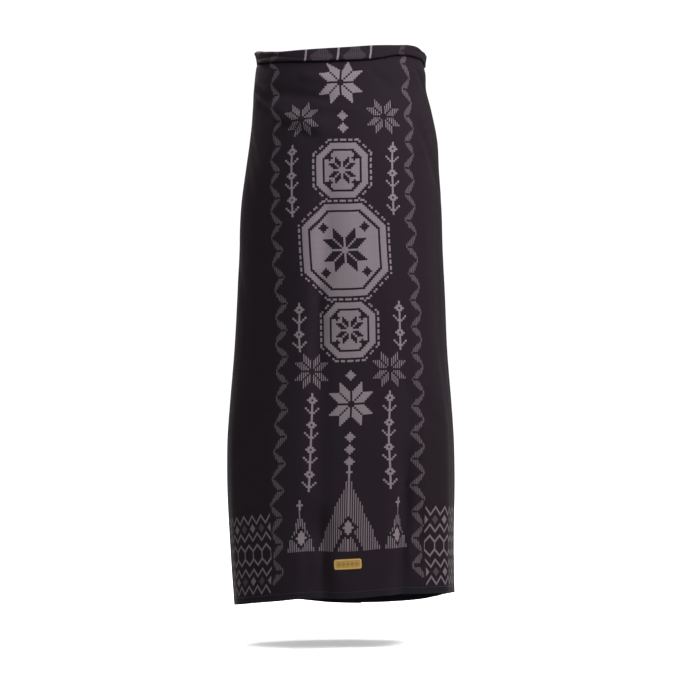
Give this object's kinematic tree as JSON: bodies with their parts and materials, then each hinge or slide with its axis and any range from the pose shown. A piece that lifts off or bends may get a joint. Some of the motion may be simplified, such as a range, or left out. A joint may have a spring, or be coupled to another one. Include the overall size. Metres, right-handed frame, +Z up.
{
  "type": "longyi sarong",
  "caption": "Ankle-length tube sarong in its worn form, hollow, with the spare cloth folded across the front and the waist rolled down; woven motif panel at the back and a small plain label.",
  "frame": {"origin": "middle of the waist opening at the height of the waist roll, where the wearer's waist holds it", "axes": "+Z up, +X towards the wearer's right, +Y towards the wearer's front, so -Y is the back with the motif panel"},
  "size_m": [0.3948, 0.2844, 0.9758],
  "materials": {
    "cloth": "fine black jacquard cloth with dim mauve-grey motifs, slight sheen",
    "rolled_cloth": "the same cloth, rolled",
    "label": "gold woven label, satin, no text"
  },
  "bodies": {
    "root": {"cloth_tube": "cloth", "waist_roll": "rolled_cloth", "label": "label"}
  },
  "joints": []
}
